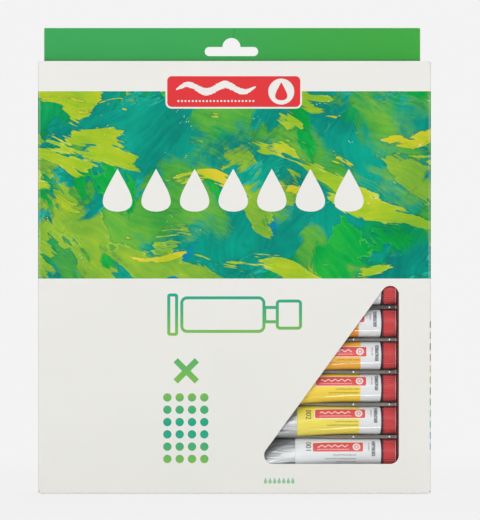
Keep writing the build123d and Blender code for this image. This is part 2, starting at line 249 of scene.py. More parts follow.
class PaintBoxCarton(bpy.types.PropertyGroup):
    """The folding carton: its board, its printed parts and its creases."""

    board: colour_property("Board", "Coated white face of the board", "E7E6E2")
    board_core: colour_property("Board core", "Uncoated inside and cut edges", "D5D0C6")
    header: colour_property("Header", "Green print on the hang header", "3FA55A")
    badge: colour_property("Badge", "Red print of the badge", "DC3A3E")
    art_bottom: length_property("Art bottom", "Lower edge of the painted band", 120.7)
    art_top: length_property("Art top", "Upper edge of the painted band", 225.6)
    art_seed: bpy.props.FloatProperty(
        name="Art seed", description="Moves the pattern of brush marks", default=3.0
    )
    crease_reach: length_property("Crease reach", "How far a crease strip runs each side", 1.5)


class PaintBoxContents(bpy.types.PropertyGroup):
    """The tubes, their caps and the clear sheets around them."""

    cap: colour_property("Cap", "Red plastic of the caps", "CB3436")
    label: colour_property("Label", "White lacquer at the shoulder end", "E6E8EA")
    metal: colour_property("Metal", "Bare aluminium of the tail", "C9CBCC")
    dent_depth: length_property("Dent depth", "Depth of the dents in the soft sleeve", 0.16)
    wrinkle_depth: length_property("Wrinkle depth", "Depth of the wrinkles by the tail", 0.28)
    band_end: length_property("Band end", "Where the paint-coloured band ends, from the middle", 34.8)
    band_start: length_property("Band start", "Where it starts, next to the label", 69.6)


class PaintBoxStage(bpy.types.PropertyGroup):
    """Floor, lamps and camera."""

    backdrop: colour_property("Backdrop", "Colour of the floor and the backdrop", "F3F3F3")
    elevation: bpy.props.FloatProperty(
        name="Elevation",
        description="Camera's angle above the horizon",
        default=math.radians(1.2),
        subtype="ANGLE",
    )
    distance: bpy.props.FloatProperty(
        name="Distance", description="Camera to the box", default=4.9, unit="LENGTH"
    )
    view_height: length_property("View height", "Height of the frame at the box", 291.2)
    aim_x: length_property("Aim X", "Sideways point at the frame's centre", 3.1)
    aim_z: length_property("Aim Z", "Height at the frame's centre", 131.1)


# ---------------------------------------------------------------- node helpers


class NodeTree:
    """The node tree of a material or a world, with short calls for the nodes it is made of."""

    def __init__(self, owner, output_type):
        owner.use_nodes = True
        self.nodes = owner.node_tree.nodes
        self.links = owner.node_tree.links
        self.nodes.clear()
        self.output = self.new(output_type)

    def put(self, socket, value):
        if isinstance(value, bpy.types.NodeSocket):
            self.links.new(value, socket)
        elif value is not None:
            socket.default_value = value

    def fill(self, node, named):
        """Set a node's inputs by name, in lower case and with underscores."""
        for name, value in named.items():
            socket = name.replace("_", " ").title().replace("Ior", "IOR")
            self.put(node.inputs[socket], value)

    def new(self, kind, *values, settings=None, **named):
        """A new shader node with its settings, and with its inputs set in order or by name."""
        node = self.nodes.new(f"ShaderNode{kind}")
        for name, value in (settings or {}).items():
            setattr(node, name, value)
        for socket, value in zip(node.inputs, values):
            self.put(socket, value)
        self.fill(node, named)
        return node

    def show(self, node):
        """Let a shader node make the surface."""
        self.links.new(node.outputs[0], self.output.inputs["Surface"])

    def math(self, operation, *values):
        return self.new("Math", *values, settings={"operation": operation}).outputs[0]

    def chain(self, operation, values):
        """One operation over many values, from the first to the last."""
        total = values[0]
        for value in values[1:]:
            total = self.math(operation, total, value)
        return total

    def add(self, *values):
        return self.chain("ADD", values)

    def mul(self, *values):
        return self.chain("MULTIPLY", values)

    def sub(self, a, b):
        return self.math("SUBTRACT", a, b)

    def abs(self, a):
        return self.math("ABSOLUTE", a)

    def step(self, value, low, high):
        """0 below low, 1 above high, smooth between; high may be the lower."""
        start, end = (1.0, 0.0) if high < low else (0.0, 1.0)
        ends = {"from_min": min(low, high), "from_max": max(low, high), "to_min": start, "to_max": end}
        smooth = {"interpolation_type": "SMOOTHSTEP"}
        return self.new("MapRange", settings=smooth, value=value, **ends).outputs[0]

    def within(self, value, low, high, edge=0.03):
        """1 between low and high."""
        rises = self.step(value, low - edge, low + edge)
        falls = self.step(value, high + edge, high - edge)
        return self.mul(rises, falls)

    def both(self, *masks):
        return self.mul(*masks)

    def either(self, *masks):
        return self.chain("MAXIMUM", masks)

    def mix(self, share, a, b, blend="MIX"):
        node = self.new("Mix", settings={"data_type": "RGBA", "blend_type": blend})
        self.put(node.inputs[0], share)
        self.put(node.inputs[6], a)
        self.put(node.inputs[7], b)
        return node.outputs[2]

    def limit(self, value, low, high):
        return self.math("MINIMUM", self.math("MAXIMUM", value, low), high)

    def repeat(self, value, pitch):
        """A distance that starts again at every pitch."""
        return self.math("FLOORED_MODULO", value, pitch)

    def centred(self, value, pitch):
        """Distance from the middle of the pitch that a value falls in."""
        return self.sub(self.repeat(value, pitch), pitch / 2)

    def length(self, a, b):
        """Straight distance made by two distances at right angles."""
        return self.math("SQRT", self.add(self.mul(a, a), self.mul(b, b)))

    def shaded(self, colour, shade):
        """A colour made darker or paler by a grey value."""
        return self.mix(1.0, colour, self.vector(shade, shade, shade), "MULTIPLY")

    def lay_over(self, share, below, above):
        """Show a share of one shader over another on the surface."""
        self.show(self.new("MixShader", share, below.outputs[0], above.outputs[0]))

    def vector(self, x, y, z):
        return self.new("CombineXYZ", x, y, z).outputs[0]

    def place(self):
        """Object coordinates in millimetres, as three numbers."""
        place = self.new("TexCoord").outputs["Object"]
        scaled = self.new("VectorMath", place, settings={"operation": "SCALE"}, scale=1 / MM)
        return self.new("SeparateXYZ", scaled.outputs[0]).outputs

    def noise(self, place, scale, detail=2.0, roughness=0.5, distortion=0.0):
        """Cloudy noise over a vector, or over three coordinates, where a pair is one and its stretch."""
        if not isinstance(place, bpy.types.NodeSocket):
            place = self.vector(*(self.mul(*part) if isinstance(part, tuple) else part for part in place))
        return self.new(
            "TexNoise", vector=place, scale=scale, detail=detail, roughness=roughness, distortion=distortion
        ).outputs[0]

    def specks(self, vector, scale):
        """Distance to the nearest of many scattered points."""
        return self.new("TexVoronoi", vector=vector, scale=scale).outputs[0]

    def ramp(self, value, stops, interpolation="LINEAR"):
        node = self.new("ValToRGB", value)
        node.color_ramp.interpolation = interpolation
        elements = node.color_ramp.elements
        elements.remove(elements[1])
        elements[0].position, elements[0].color = stops[0]
        for place, colour in stops[1:]:
            elements.new(place).color = colour
        return node.outputs[0]

    def bump(self, height, distance_mm, strength=1.0):
        return self.new("Bump", height=height, distance=distance_mm * MM, strength=strength).outputs[0]

    def seen_ray(self):
        """1 for rays straight from the camera, off a mirror or through glass."""
        rays = self.new("LightPath").outputs
        return self.either(*(rays[f"Is {kind} Ray"] for kind in ("Camera", "Glossy", "Transmission")))


class Shader(NodeTree):
    """One material, with a principled surface."""

    def __init__(self, name):
        self.material = bpy.data.materials.new(name)
        super().__init__(self.material, "OutputMaterial")
        self.surface = self.new("BsdfPrincipled")
        self.show(self.surface)

    def set(self, **values):
        """Set the surface's inputs by name."""
        self.fill(self.surface, values)


# ---------------------------------------------------------------- board and print


def board_finish(s, x, y, z, base, printed):
    """Paper fibres and calender marks under a thin print varnish."""
    place = s.vector(x, y, z)
    fibres = s.noise(place, 1.6, 4.0, 0.6)
    clouds = s.noise(place, 0.02, 2.0, 0.5)
    sag = s.noise(place, 0.011, 1.0, 0.5)
    shade = s.add(0.965, s.mul(clouds, 0.045), s.mul(fibres, 0.025))
    s.set(base_color=s.shaded(base, shade))
    unprinted = s.sub(1.0, printed)
    s.set(roughness=s.add(0.42, s.mul(fibres, 0.12), s.mul(unprinted, 0.3)))
    s.set(specular_ior_level=s.add(0.3, s.mul(printed, -0.24)))
    s.set(normal=s.bump(s.add(s.mul(fibres, 0.007), s.mul(sag, 1.1)), 1.0))


def board_material(name, carton, axis, outside, front_fold=False):
    """White board, coated on the side past the plane outside on the given axis and round a front fold."""
    s = Shader(name)
    place = s.place()
    direction = math.copysign(1.0, outside)
    reach = s.mul(place["XYZ".index(axis)], direction)
    coated = s.step(reach, abs(outside) - COAT_START, abs(outside) - COAT_FULL)
    if front_fold:
        coated = s.either(coated, s.step(place[1], 0.7 - HALF_DEPTH, FACE_FULL - HALF_DEPTH))
    base = s.mix(coated, tuple(carton.board_core), tuple(carton.board))
    board_finish(s, *place, base, coated)
    return s.material


def turned(s, across, up, angle):
    """Coordinates along a stroke at this angle, and over it."""
    turn = math.radians(angle)
    along = s.add(s.mul(across, math.cos(turn)), s.mul(up, math.sin(turn)))
    over = s.add(s.mul(across, -math.sin(turn)), s.mul(up, math.cos(turn)))
    return along, over


def brush_field(s, across, up, angle, length, width, seed):
    """A field whose high places are long patches at one angle, with torn edges."""
    along, over = turned(s, across, up, angle)
    bend_reach, bristle_share = 44.0, 0.07
    bend = s.mul(s.sub(s.noise((across, up, seed), 0.018, 1.0, 0.5), 0.5), bend_reach)
    over = s.add(over, bend)
    field = s.noise(((along, 1 / length), (over, 1 / width), seed), 1.0, 5.0, 0.55)
    bristles = s.noise(((along, 0.035), (over, 0.9), seed), 1.0, 2.0, 0.6)
    return s.add(field, s.mul(s.sub(bristles, 0.5), bristle_share))


def paint_tone(s, across, up, angle, seed, tones):
    """Colour inside a patch: slow changes of mixing, and streaks left by the bristles."""
    along, over = turned(s, across, up, angle)
    curl = s.mul(s.noise((across, up, seed), 0.03, 1.0, 0.5), 22.0)
    streaks = s.noise(((along, 0.03), (s.add(over, curl), 0.42), seed), 1.0, 5.0, 0.7)
    mixing = s.noise((across, up, seed + 0.5), 0.028, 3.0, 0.55)
    grain = s.noise((across, up, seed), 1.1, 3.0, 0.7)
    value = s.add(s.mul(mixing, 0.58), s.mul(streaks, 0.3), s.mul(grain, 0.12))
    places = (0.38, 0.5, 0.62)
    return s.ramp(value, [(place, rgb(code)) for place, code in zip(places, tones)])


def lay_paint(s, colour, field, cover, soft, tone, lip, ridge):
    """One coat over the rest: a shadow beside its edge and a paler lip of thick paint on it."""
    edge = 1.0 - cover
    crisp = soft < 0.01
    if crisp:
        shadow = s.step(field, edge - 0.022, edge - 0.002)
        colour = s.mix(s.mul(shadow, 0.3), colour, rgb("005A46"))
        thick = s.within(field, edge + 0.002, edge + 0.012, 0.004)
        tone = s.mix(s.mul(thick, ridge), tone, rgb(lip))
    return s.mix(s.step(field, edge - soft, edge + soft), colour, tone)


COATS = (
    # angle, length, width, cover, softness, seed, tones from dark to light, lip
    (24, 62, 30, 0.38, 0.02, 11.3, ("006E96", "0082A0", "0096AA"), "50B4BE"),
    (64, 58, 36, 0.45, 0.03, 18.3, ("008250", "009655", "19A55A"), "46BE82"),
    (-32, 92, 52, 0.46, 0.035, 21.9, ("32963C", "55A83C", "78B43C"), "8CC85A"),
    (-40, 74, 44, 0.46, 0.004, 12.7, ("5A9B32", "7DAF37", "9BBE32"), "AFD250"),
    (38, 78, 34, 0.43, 0.006, 23.4, ("00786E", "00917D", "0AA58C"), "3CBEA5"),
    (-60, 52, 30, 0.39, 0.004, 16.8, ("008C3C", "00A041", "28AF3C"), "5ABE50"),
    (-14, 96, 34, 0.43, 0.004, 14.9, ("78AF32", "9BBE28", "BEC82D"), "D2DC64"),
    (-9, 70, 15, 0.34, 0.003, 15.2, ("A0B928", "C3C328", "DCC837"), "E6DC6E"),
    (12, 46, 13, 0.31, 0.003, 19.6, ("008C3C", "00A546", "3CB43C"), "78C878"),
)


def painted_band(s, across, up, carton):
    """Coats of thick paint brushed over each other, from teal up to yellow."""
    seed = carton.art_seed
    colour = paint_tone(s, across, up, 78, seed, ("00786E", "00917D", "00A58C"))
    relief = s.noise((across, up, seed), 0.045, 3.0, 0.6)
    ridge = s.mul(s.step(relief, 0.44, 0.62), 0.6)
    for angle, length, width, cover, soft, coat_seed, tones, lip in COATS:
        field = brush_field(s, across, up, angle, length, width, seed + coat_seed)
        tone = paint_tone(s, across, up, angle + 6, seed + coat_seed, tones)
        colour = lay_paint(s, colour, field, cover, soft, tone, lip, ridge)
    glint_place = s.vector(across, s.mul(up, 1.3), seed)
    shade = s.add(0.8, s.mul(s.noise((across, up, seed + 2.0), 0.022, 4.0, 0.6), 0.4))
    colour = s.shaded(colour, shade)
    near = s.step(s.specks(glint_place, 0.7), 0.24, 0.14)
    sparse = s.step(s.noise(glint_place, 0.05, 4.0, 0.75), 0.625, 0.65)
    return s.mix(s.both(near, sparse), colour, rgb("E6F5EB"))


def rounded_plate(s, across, up, centre, half, radius):
    """Distance outside a rounded rectangle, negative inside."""
    dx = s.sub(s.abs(s.sub(across, centre[0])), half[0] - radius)
    dz = s.sub(s.abs(s.sub(up, centre[1])), half[1] - radius)
    corner = s.length(s.either(dx, 0.0), s.either(dz, 0.0))
    inner = s.math("MINIMUM", s.either(dx, dz), 0.0)
    return s.sub(s.add(corner, inner), radius)


def inside(s, distance, offset=0.0):
    """1 where a distance falls below an offset."""
    return s.step(distance, offset + 0.05, offset - 0.05)


def badge_print(s, across, up, colour, carton):
    """A red plate with a white rim, a plain white brush stroke, a rule, and a drop in a disc."""
    centre_x, centre_z = BADGE_CENTRE
    plate = rounded_plate(s, across, up, BADGE_CENTRE, BADGE_HALF, BADGE_CORNER)
    colour = s.mix(inside(s, plate), colour, tuple(carton.board))
    colour = s.mix(inside(s, plate, -BADGE_RIM), colour, tuple(carton.badge))
    stroke_x = centre_x + BADGE_STROKE_OFFSET
    run = s.sub(across, stroke_x)
    wave = s.mul(s.math("SINE", s.mul(run, 0.3)), 2.0)
    rough = s.noise(((across, 0.12), (up, 1.8), 4.0), 1.0, 3.0, 0.6)
    share = s.mul(s.abs(run), 1 / BADGE_STROKE_HALF)
    taper = s.math("SQRT", s.either(s.sub(1.0, s.mul(share, share)), 0.0))
    half_width = s.mul(taper, s.add(0.9, s.mul(rough, 2.5)))
    off = s.abs(s.sub(s.sub(up, centre_z + 1.9), wave))
    stroke = s.both(s.step(s.sub(off, half_width), 0.06, -0.06), s.step(share, 1.0, 0.98))
    beads_low = (stroke_x - 21.0, centre_z - 5.3)
    beads = dot_grid(s, across, up, beads_low, pitch=2.0, columns=22, rows=1, radius=0.55)
    away = s.length(s.sub(across, centre_x + BADGE_DISC_OFFSET), s.sub(up, centre_z))
    disc = inside(s, away, BADGE_DISC_RADIUS)
    drop = drop_row(s, across, up, *DROP_ROWS["badge"])
    colour = s.mix(s.either(stroke, beads, disc), colour, tuple(carton.board))
    return s.mix(drop, colour, tuple(carton.badge))


def drop_row(s, across, up, first, pitch, count, bottom, height, half_width):
    """A mask of equal paint drops in a row, point upward."""
    shifted = s.sub(across, first - pitch / 2)
    cell = s.centred(shifted, pitch)
    in_row = s.within(shifted, 0.0, pitch * count)
    fall = s.limit(s.mul(s.sub(bottom + height, up), 1 / height), 0.0, 1.0)
    cubed = s.mul(fall, fall, fall)
    swell = s.mul(fall, s.math("SQRT", s.either(s.sub(1.0, s.mul(cubed, fall)), 0.0)))
    width = s.mul(swell, half_width / 0.62)
    body = s.step(s.sub(s.abs(cell), width), 0.06, -0.06)
    return s.both(body, in_row, s.within(up, bottom, bottom + height))


def title_print(s, across, up, colour, carton):
    """Seven plain white drops across the painted band."""
    return s.mix(drop_row(s, across, up, *DROP_ROWS["band"]), colour, tuple(carton.board))


def line_shape(s, distance, half_line):
    """A line along the edge of a shape, from the distance to that edge."""
    return s.step(s.abs(distance), half_line + 0.05, half_line - 0.05)


# Centre, half size and corner radius of each part of the tube drawing
TUBE_DRAWING = {
    "body": ((-6.5, 100.5), (23.0, 9.4), 3.0),
    "cap": ((30.5, 100.5), (6.5, 7.6), 1.5),
    "neck": ((20.6, 100.5), (3.6, 4.0), 0.6),
    "tail": ((-34.6, 100.5), (2.2, 11.0), 0.8),
}


def tube_sign(s, across, up):
    """A line drawing of a paint tube lying on its side."""
    lines = []
    for part, (centre, half, radius) in TUBE_DRAWING.items():
        line = line_shape(s, rounded_plate(s, across, up, centre, half, radius), 0.85)
        if part == "neck":
            line = s.both(line, s.within(across, 17.3, 23.2))
        lines.append(line)
    return s.either(*lines)


def times_sign(s, across, up, centre, reach, half_line):
    """Two crossed bars."""
    dx = s.sub(across, centre[0])
    dz = s.sub(up, centre[1])
    rising = s.mul(s.sub(dx, dz), math.sqrt(0.5))
    falling = s.mul(s.add(dx, dz), math.sqrt(0.5))
    first = s.both(s.within(rising, -half_line, half_line), s.within(falling, -reach, reach))
    second = s.both(s.within(falling, -half_line, half_line), s.within(rising, -reach, reach))
    return s.either(first, second)


def dot_grid(s, across, up, low, pitch, columns, rows, radius):
    """A mask of dots in a grid."""
    dx = s.sub(across, low[0] - pitch / 2)
    dz = s.sub(up, low[1] - pitch / 2)
    away = s.length(s.centred(dx, pitch), s.centred(dz, pitch))
    area = s.both(s.within(dx, 0.0, pitch * columns), s.within(dz, 0.0, pitch * rows))
    return s.both(s.step(away, radius + 0.06, radius - 0.06), area)


def ink_gradient(s, value, low, high):
    """Teal at the top of a mark, through green, to lime at its foot."""
    share = s.mul(s.sub(value, low), 1 / (high - low))
    stops = [(0.0, rgb("86BC4E")), (0.45, rgb("52AE6E")), (1.0, rgb("1FA38C"))]
    return s.ramp(share, stops)


def lower_signs(s, across, up, colour):
    """Signs on the plain lower half: a tube, a times sign and 24 dots."""
    tube = tube_sign(s, across, up)
    colour = s.mix(tube, colour, ink_gradient(s, up, 88.0, 114.0))
    times = times_sign(s, across, up, centre=(-27.0, 69.0), reach=8.4, half_line=1.7)
    colour = s.mix(times, colour, ink_gradient(s, up, 60.0, 100.0))
    dots = dot_grid(s, across, up, (-37.6, 19.6), pitch=6.9, columns=4, rows=6, radius=2.35)
    off_middle = s.abs(s.sub(up, 37.0))
    colour = s.mix(dots, colour, ink_gradient(s, s.sub(37.0, off_middle), 16.0, 36.0))
    small = drop_row(s, across, up, *DROP_ROWS["foot"])
    return s.mix(s.mul(small, 0.85), colour, rgb("7DBE8C"))


def paint_stops(side):
    """A step of a colour ramp for each paint in one column of tubes."""
    return [(i / ROWS, rgb(code)) for i, code in enumerate(PAINTS[side].values())]


def side_chips(s, across, up, colour):
    """Twelve colour chips down the edge of the right side."""
    first, pitch, chip = 26.6, 6.22, 3.8
    share = s.sub(up, first - pitch / 2)
    cell = s.repeat(share, pitch)
    tone = s.ramp(s.mul(share, 1 / (pitch * ROWS)), paint_stops("left"), "CONSTANT")
    across_chip = s.within(across, HALF_WIDTH - 0.5, HALF_WIDTH + 5.0)
    along_chip = s.within(cell, (pitch - chip) / 2, (pitch + chip) / 2)
    down = s.within(share, 0.0, pitch * ROWS)
    return s.mix(s.mul(s.both(across_chip, along_chip, down), 0.8), colour, tone)


def back_chart(s, x, z, colour):
    """A colour chart on the back: one chip and one rule for each tube, in two columns."""
    share = s.sub(z, CHART_BOTTOM)
    cell = s.repeat(share, CHART_PITCH)
    in_chart = s.within(share, 0.0, CHART_PITCH * ROWS)
    streaks = s.noise(((x, 0.06), (z, 1.2), 8.0), 1.0, 3.0, 0.6)
    ragged = s.mul(s.sub(streaks, 0.5), 4.0)
    for side, sign in SIDES.items():
        tone = s.ramp(s.mul(share, 1 / (CHART_PITCH * ROWS)), paint_stops(side), "CONSTANT")
        off_middle = s.abs(s.sub(x, sign * CHART_MIDDLE_X))
        chip_end = s.step(s.sub(off_middle, ragged), 24.3, 23.9)
        chip = s.both(chip_end, s.within(cell, 2.5, 10.5, 0.05), in_chart)
        colour = s.mix(chip, colour, tone)
        rule = s.both(s.within(off_middle, 0.0, 24.0), s.within(cell, 0.9, 1.15, 0.04), in_chart)
        colour = s.mix(rule, colour, rgb("B4B4B0"))
    return colour


def header_tone(s, x, z, carton):
    """Solid green print with faint press mottle, and painted shade along its foot just above the box's top.
    """
    mottle = s.noise((x, 0.0, z), 0.35, 4.0, 0.6)
    drift = s.noise((x, 0.0, z), 0.012, 1.0, 0.5)
    shade = s.add(0.93, s.mul(mottle, 0.06), s.mul(drift, 0.1))
    # Painted shade: up to 30% darker in the header's lowest millimetre, where it meets the box's top
    shade = s.mul(shade, s.sub(1.0, s.mul(s.step(z, BOX_TOP + 1.1, BOX_TOP + 0.4), 0.3)))
    warmer = s.mix(s.mul(s.step(x, -60.0, 104.0), 0.75), tuple(carton.header), rgb("43A53C"))
    return s.shaded(warmer, shade)


def carton_material(carton):
    """The printed carton: every outer face of the wrap, its inside and its cut edges."""
    s = Shader("printed_carton")
    x, y, z = s.place()
    ox = s.either(s.sub(s.abs(x), HALF_WIDTH - FOLD_RADIUS), 0.0)
    oy = s.either(s.sub(s.abs(y), HALF_DEPTH - FOLD_RADIUS), 0.0)
    shell = s.length(ox, oy)
    printed = s.step(shell, FOLD_RADIUS - COAT_START, FOLD_RADIUS - COAT_FULL)
    across = s.add(x, s.mul(s.math("SIGN", x), s.add(y, HALF_DEPTH)))
    front_half = s.step(y, HALF_DEPTH - 0.5, HALF_DEPTH - 0.9)
    colour = tuple(carton.board)
    band = s.both(s.within(z, carton.art_bottom / MM, carton.art_top / MM, 0.05), front_half)
    colour = s.mix(band, colour, painted_band(s, across, z, carton))
    on_front = s.step(y, FACE_START - HALF_DEPTH, FACE_FULL - HALF_DEPTH)
    front = title_print(s, across, z, colour, carton)
    front = badge_print(s, across, z, front, carton)
    front = lower_signs(s, across, z, front)
    colour = s.mix(on_front, colour, front)
    colour = s.mix(front_half, colour, side_chips(s, across, z, colour))
    on_back = s.step(y, HALF_DEPTH - FACE_START, HALF_DEPTH - FACE_FULL)
    colour = s.mix(on_back, colour, back_chart(s, x, z, colour))
    on_header = s.step(z, BOX_TOP - 0.3, BOX_TOP + 0.1)
    colour = s.mix(on_header, colour, header_tone(s, x, z, carton))
    # Painted highlight along the upright folds, with cracked, paled print in it
    colour = s.mix(fold_highlight_and_cracks(s, x, y, z), colour, tuple(carton.board))
    base = s.mix(printed, tuple(carton.board_core), colour)
    board_finish(s, x, y, z, base, printed)
    return s.material


def fold_highlight_and_cracks(s, x, y, z):
    """A painted highlight along the upright folds, paler still where the print has cracked."""
    along = s.noise((0.0, y, z), 0.25, 4.0, 0.65)
    crease = HALF_WIDTH - FOLD_RADIUS
    # Painted highlight: a pale line on the fold's rounding, stronger where the cracks fall
    line = s.within(s.abs(x), crease - 0.22, crease + 0.18, 0.12)
    cracks = s.step(along, 0.3, 0.62)
    return s.mul(line, s.add(0.1, s.mul(cracks, 0.22)))


def header_material(carton):
    """Green board; the cut edges show the core."""
    s = Shader("green_header")
    x, y, z = s.place()
    front = s.step(y, HEADER_LOW[1] + 0.12, HEADER_LOW[1] + 0.05)
    top = s.step(z, HEADER_HIGH[2] - 0.6, HEADER_HIGH[2] - 0.2)
    printed = s.either(front, top)
    tone = header_tone(s, x, z, carton)
    slit_foot_x, slit_foot_z, slit_lean = -0.9, 255.6, 0.19
    slit_x = s.sub(x, s.add(slit_foot_x, s.mul(s.sub(z, slit_foot_z), slit_lean)))
    slit = s.both(s.within(slit_x, -0.1, 0.1, 0.06), s.step(z, slit_foot_z - 0.4, slit_foot_z))
    tone = s.mix(s.mul(slit, 0.75), tone, rgb("1E5A32"))
    rim = s.step(z, HEADER_HIGH[2] - 0.5, HEADER_HIGH[2])
    tone = s.mix(s.mul(rim, 0.1), tone, rgb("A8D2AC"))
    base = s.mix(printed, tuple(carton.board_core), tone)
    board_finish(s, x, y, z, base, printed)
    return s.material


# ---------------------------------------------------------------- contents


def cap_material(contents):
    """Moulded red plastic with a faint satin grain, a painted shadow at its open rim and a painted
    highlight line near its end.
    """
    s = Shader("red_cap")
    x, y, z = s.place()
    grain = s.noise((x, y, z), 2.2, 3.0, 0.6)
    flow = s.noise(((x, 0.2), y, z), 0.3, 2.0, 0.5)
    shade = s.add(0.88, s.mul(flow, 0.24))
    colour = s.shaded(tuple(contents.cap), shade)
    along = s.abs(x)
    # Painted shadow: dark purple over the first part of the cap, where the shoulder shades it
    painted_rim_shadow = s.step(along, CAP_LOW[0] + 0.75, CAP_LOW[0] + 0.55)
    colour = s.mix(s.mul(painted_rim_shadow, 0.92), colour, rgb("3C1430"))
    # Painted highlight: a pale pink line near the cap's end
    edge = s.within(along, *CAP_HIGHLIGHT_SPAN, 0.05)
    s.set(base_color=s.mix(s.mul(edge, 0.85), colour, rgb("FFD6D6")))
    s.set(roughness=s.add(0.3, s.mul(grain, 0.14)))
    s.set(normal=s.bump(grain, 0.02, 0.3))
    return s.material


def tube_print(s, along, arc, colour, jitter, rules):
    """Red bar with a white rim, broken grey rules below it and two rows of marks round the label."""
    bar_x, bar_arc = BAR_CENTRE
    stroke_start, stroke_end = BAR_STROKE_ENDS
    bar = rounded_plate(s, along, arc, (bar_x + jitter, bar_arc), BAR_HALF, BAR_CORNER)
    colour = s.mix(inside(s, bar), colour, rgb("F0EDEC"))
    colour = s.mix(inside(s, bar, -BAR_RIM), colour, rgb("E04B48"))
    disc = s.length(s.sub(along, BAR_DISC_X + jitter), s.sub(arc, bar_arc))
    colour = s.mix(s.step(disc, 2.2, 2.1), colour, rgb("F0E4E2"))
    colour = s.mix(s.within(disc, 0.7, 1.25, 0.1), colour, rgb("D98580"))
    squiggle = s.add(3.4, s.mul(s.math("SINE", s.mul(along, 1.7)), 0.55))
    stroke = s.both(
        s.within(along, stroke_start + jitter, stroke_end + jitter),
        s.step(s.abs(s.sub(arc, squiggle)), 0.42, 0.26),
    )
    beads = dot_grid(s, along, arc, (47.6 + jitter, 1.35), pitch=0.9, columns=20, rows=1, radius=0.24)
    colour = s.mix(s.either(stroke, beads), colour, rgb("F0DEDA"))
    broken = s.step(s.noise(((along, 1.5), arc, 3.0), 1.0, 1.0, 0.5), 0.38, 0.46)
    # Place round the tube, and where each rule starts along it
    for height, start in ((-1.9, 56.0), (-4.0, 51.5), (-6.1, 58.0))[:rules]:
        rule = s.both(
            s.within(along, start + jitter, 69.0 + jitter, 0.1),
            s.within(arc, height - 0.42, height + 0.42, 0.12),
            broken,
        )
        colour = s.mix(s.mul(rule, 0.5), colour, rgb("4B4632"))
    broken_round = s.step(s.noise((along, (arc, 1.5), 5.0), 1.0, 1.0, 0.5), 0.37, 0.46)
    # Middle and half width along the tube, lowest and highest place round it, and strength
    marks = ((78.7, 1.0, -2.6, 7.0, 0.85), (76.1, 0.4, 0.6, 5.4, 0.5))
    for place, half, low, high, strength in marks:
        rule = s.both(
            s.within(along, place - half + jitter, place + half + jitter, 0.12),
            s.within(arc, low, high, 0.1),
            broken_round,
        )
        colour = s.mix(s.mul(rule, strength), colour, rgb("4C4E54"))
    return colour


def sleeve_crease(s, x, arc):
    """Height in millimetres of a long flat ledge pressed into the sleeve, and where it is polished.

    Its slope makes up for the sleeve's own curve, so the ledge faces slightly up all along.
    """
    drift = s.mul(s.sub(s.noise(((x, 0.06), 0.0, 2.0), 1.0, 2.0, 0.5), 0.5), LEDGE_DRIFT)
    slant = s.mul(s.sub(LEDGE_LEVEL_X, s.abs(x)), LEDGE_SLANT)
    middle = s.sub(LEDGE_MIDDLE, s.add(drift, slant))
    below = s.sub(s.add(middle, LEDGE_WIDTH / 2), arc)
    run = s.limit(below, 0.0, LEDGE_WIDTH)
    slope = s.math("TANGENT", s.sub(LEDGE_PITCH, s.mul(middle, 1.0 / TUBE_RADIUS)))
    return s.mul(run, slope), s.within(below, 0.0, LEDGE_WIDTH, 0.1)


def tube_material(contents, side, row, jitter, roll):
    """Lacquered label and paint-coloured band on an aluminium sleeve, with painted reflections streaking
    the bare metal and painted shade on the neck.
    """
    s = Shader(f"tube_{side}_{paint_name(side, row)}")
    x, y, z = s.place()
    along = s.abs(x)
    angle = s.math("ARCTAN2", z, s.mul(y, -1.0))
    arc = s.mul(angle, TUBE_RADIUS)
    band_end = contents.band_end / MM + jitter
    band_start = contents.band_start / MM + jitter
    shoulder = s.add(along, s.mul(arc, arc, 0.008))
    past_tail = s.step(along, band_end - 0.1, band_end + 0.1)
    lacquer = s.both(past_tail, s.step(shoulder, LACQUER_END_X + 0.15, LACQUER_END_X))
    paint = rgb(PAINTS[side][paint_name(side, row)])
    label = s.mix(s.step(along, band_start - 0.08, band_start + 0.08), paint, tuple(contents.label))
    label = tube_print(s, along, s.sub(arc, roll), label, jitter, 3 if row == 0 else 2)
    brushed = s.noise(((x, 0.25), (y, 2.0), (z, 2.0)), 1.0, 4.0, 0.6)
    fan = s.noise(((x, 0.06), (y, 0.5), (z, 0.5)), 1.0, 3.0, 0.55, 0.8)
    # Fan-shaped streaks painted into the bare metal: painted reflections of its crumpled faces, over a
    # faint brushed grain
    metal_grain_and_reflections = s.add(0.34, s.mul(fan, 0.86), s.mul(brushed, 0.12))
    metal = s.shaded(tuple(contents.metal), metal_grain_and_reflections)
    # Painted shade on the shoulder bead and neck, tinted violet like a reflection of the red cap
    metal = s.mix(s.step(along, 81.0, 81.2), metal, rgb("5A2A4C"))
    s.set(base_color=s.mix(lacquer, metal, label))
    s.set(metallic=s.mul(s.sub(1.0, lacquer), 0.6))
    ledge, polish = sleeve_crease(s, x, arc) if row > 0 else (0.0, 0.0)
    s.set(roughness=s.add(s.mul(lacquer, -0.04), 0.34, s.mul(brushed, 0.1), s.mul(polish, -0.2)))
    s.set(specular_ior_level=s.add(0.5, s.mul(polish, 0.5)))
    height = s.add(s.mul(brushed, 0.02), s.mul(fan, s.sub(1.0, lacquer), 0.5), ledge)
    s.set(normal=s.bump(height, 1.0, 1.0))
    return s.material


